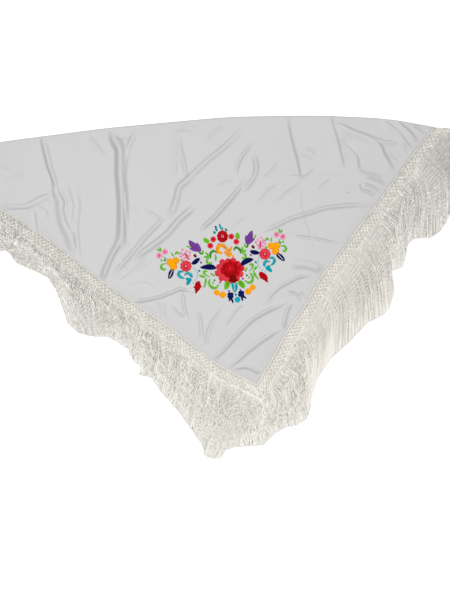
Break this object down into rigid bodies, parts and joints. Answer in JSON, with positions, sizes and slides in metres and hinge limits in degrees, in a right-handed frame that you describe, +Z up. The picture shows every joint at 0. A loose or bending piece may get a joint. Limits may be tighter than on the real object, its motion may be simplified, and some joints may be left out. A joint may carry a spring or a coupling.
{
  "type": "flamenco shawl",
  "caption": "Triangular flamenco shawl in pale satin, laid out flat with soft folds, a knotted net along both short edges and a long fringe",
  "frame": {"origin": "on the surface it lies on, under the middle of its footprint", "axes": "+X along the bare top edge to the right, +Y from the fringed corner towards the top edge, +Z up from the surface"},
  "size_m": [1.6966, 1.018, 0.009],
  "materials": {
    "cloth": "soft satin",
    "knotted_net": "matt knotted yarn",
    "fringe": "matt crinkled yarn"
  },
  "bodies": {
    "root": {"cloth": "cloth", "knotted_net_left": "knotted_net", "knotted_net_right": "knotted_net", "fringe_left": "fringe", "fringe_right": "fringe"}
  },
  "joints": []
}
